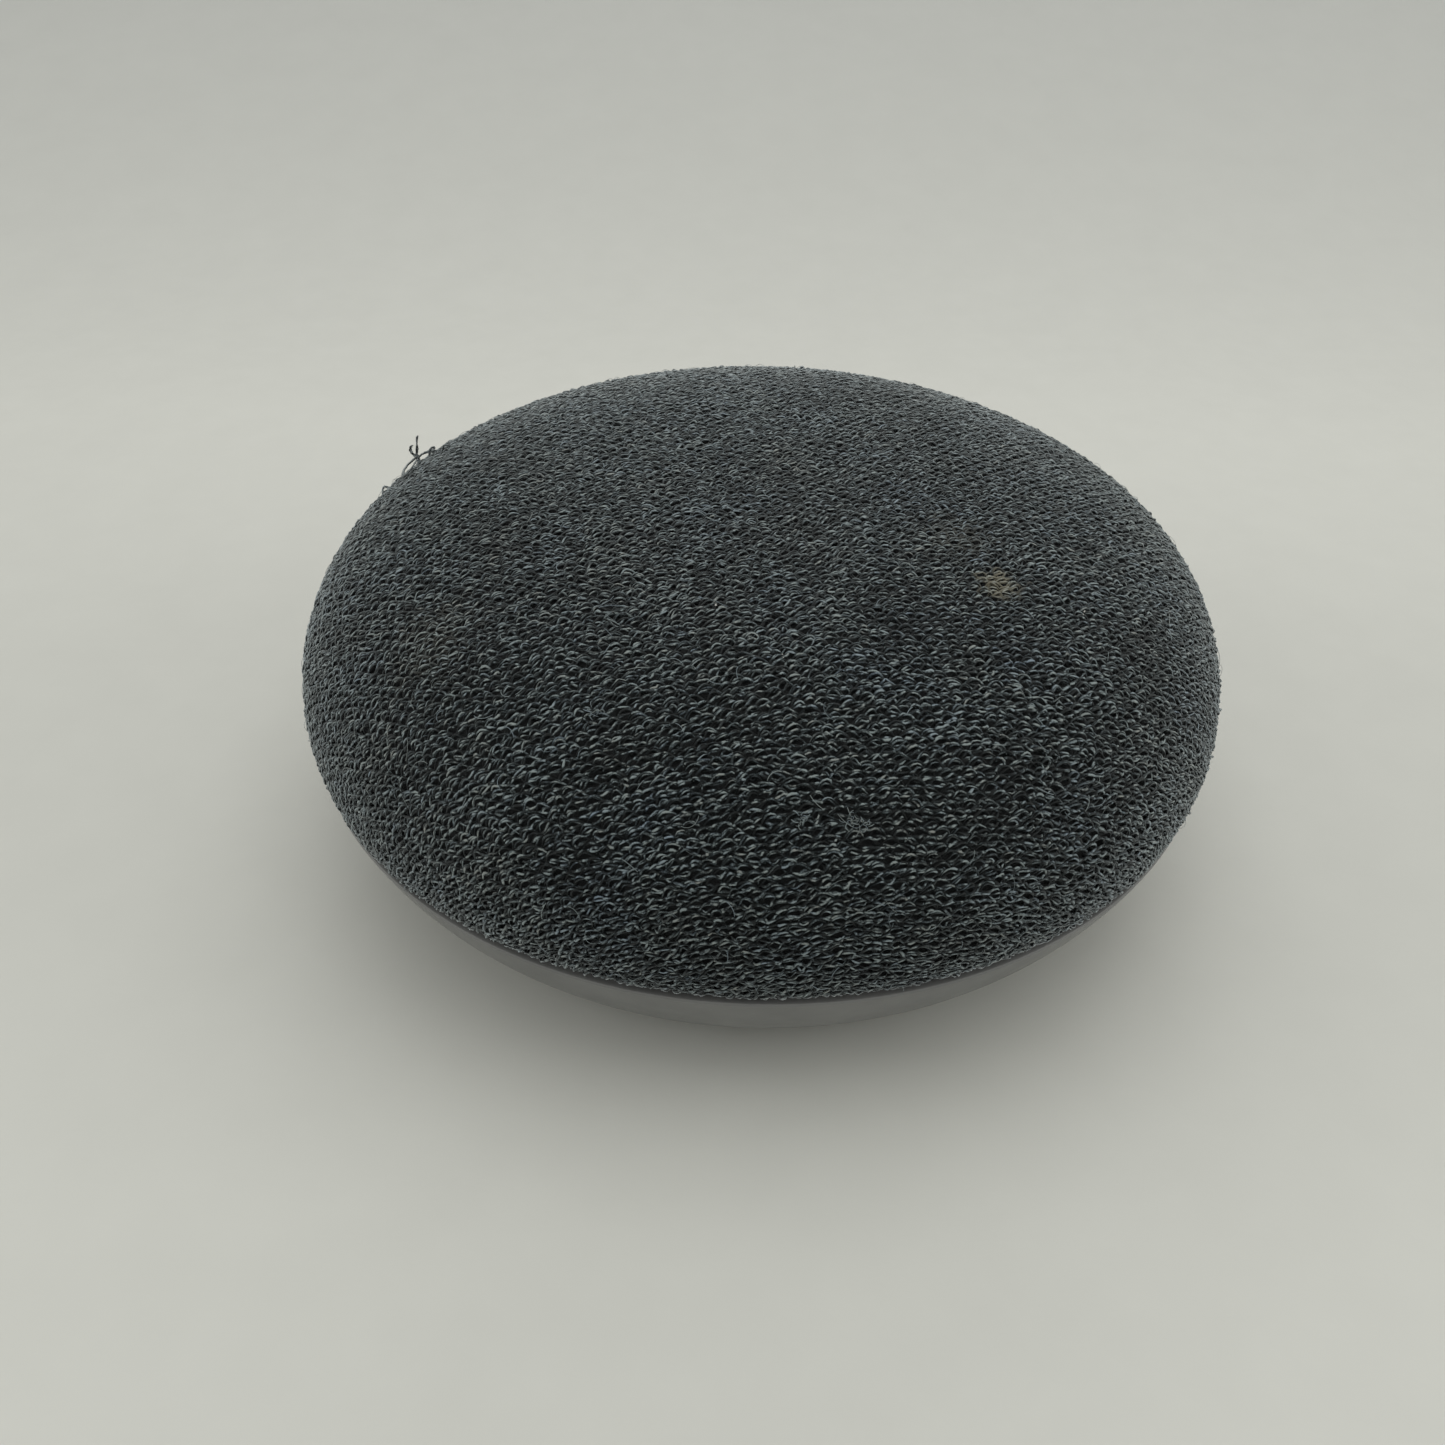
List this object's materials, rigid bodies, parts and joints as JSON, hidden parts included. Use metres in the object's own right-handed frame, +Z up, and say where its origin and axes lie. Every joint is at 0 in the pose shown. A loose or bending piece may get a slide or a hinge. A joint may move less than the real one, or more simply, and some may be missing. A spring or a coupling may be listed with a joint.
{
  "type": "smart speaker",
  "caption": "Pebble-shaped smart speaker: a knit-covered dome on a grey plastic base, with an upward driver, mute slide, reset pin and power inlet.",
  "frame": {"origin": "centre of the foot's underside, on the surface the speaker stands on", "axes": "+Z up through the middle of the dome, +Y towards the back with the power inlet, +X to the right seen from the front"},
  "size_m": [0.0978, 0.0978, 0.042],
  "materials": {
    "knit_fabric": "charcoal melange double-faced polyester knit with visible loops, fully matt",
    "base_plastic": "mid grey polycarbonate with a fine spark texture, satin",
    "dark_plastic": "dark grey moulded plastic, lightly textured",
    "foot_silicone": "grey silicone rubber, matt, slightly tacky",
    "orange_film": "orange printed film, satin",
    "circuit_board": "green solder mask with traces, satin",
    "black_resin": "black moulded epoxy, fine texture",
    "white_resin": "white moulded resin, satin",
    "clear_resin": "milky diffusing acrylic, gloss",
    "tin_plate": "tin-plated pressed steel",
    "steel": "zinc-plated steel",
    "cast_aluminium": "die-cast aluminium, bead-blasted",
    "ferrite": "sintered ferrite, ground faces",
    "copper_wire": "enamelled copper wire, close wound",
    "cone_paper": "pressed paper pulp, matt",
    "spider_cloth": "impregnated corrugated cloth",
    "black_rubber": "soft black rubber, matt",
    "thermal_rubber": "grey-blue gap filler, putty-like",
    "ribbon_film": "amber polyimide ribbon with copper tracks",
    "red_insulation": "red silicone wire insulation"
  },
  "bodies": {
    "root": {"fabric_cover": "knit_fabric", "fabric_clamp_ring": "dark_plastic", "top_shell": "dark_plastic", "bottom_shell": "base_plastic", "foot_pad": "foot_silicone", "inlet_board": "circuit_board", "power_socket": "tin_plate", "power_socket_tongue": "black_resin", "mute_switch_body": "tin_plate", "reset_switch_body": "tin_plate", "main_board": "circuit_board", "shield_can": "tin_plate", "processor": "black_resin", "memory_chip": "black_resin", "radio_module": "tin_plate", "audio_amplifier": "black_resin", "speaker_connector": "white_resin", "thermal_pad": "thermal_rubber", "inlet_ribbon": "ribbon_film", "light_ribbon": "ribbon_film", "enclosure_cup": "cast_aluminium", "enclosure_gasket": "black_rubber", "enclosure_lid": "dark_plastic", "speaker_frame": "steel", "yoke": "steel", "magnet": "ferrite", "top_plate": "steel", "surround": "black_rubber", "spider": "spider_cloth", "speaker_wire_red": "red_insulation", "speaker_wire_black": "black_rubber", "wire_grommet": "black_rubber", "light_bracket": "dark_plastic", "light_board": "circuit_board", "status_light_1": "white_resin", "status_light_2": "white_resin", "status_light_3": "white_resin", "status_light_4": "white_resin", "light_guide": "clear_resin", "microphone_left": "tin_plate", "microphone_right": "tin_plate", "touch_pad_right": "ribbon_film", "touch_pad_left": "ribbon_film", "case_screw_1": "steel", "lid_screw_1": "steel", "case_screw_2": "steel", "lid_screw_2": "steel", "case_screw_3": "steel", "lid_screw_3": "steel", "case_screw_4": "steel", "lid_screw_4": "steel"},
    "mute_slide": {"mute_slider": "base_plastic", "mute_switch_lever": "black_resin", "mute_label": "orange_film"},
    "reset_pin": {"reset_button": "base_plastic", "reset_switch_plunger": "black_resin"},
    "cone_assembly": {"cone": "cone_paper", "dust_cap": "cone_paper", "voice_coil": "copper_wire"}
  },
  "joints": [
    {"name": "mute_switch", "type": "slide", "parent": "root", "child": "mute_slide", "axis": [-0.8988, -0.4384, 0], "range_m": [0, 0.0025]},
    {"name": "reset_press", "type": "slide", "parent": "root", "child": "reset_pin", "axis": [0, 0, 1], "range_m": [0, 0.0004], "stiffness_N_per_m": 400},
    {"name": "cone_travel", "type": "slide", "parent": "root", "child": "cone_assembly", "axis": [0, 0, 1], "range_m": [-0.0015, 0.0015], "stiffness_N_per_m": 900, "deforming": ["surround", "spider"]}
  ]
}
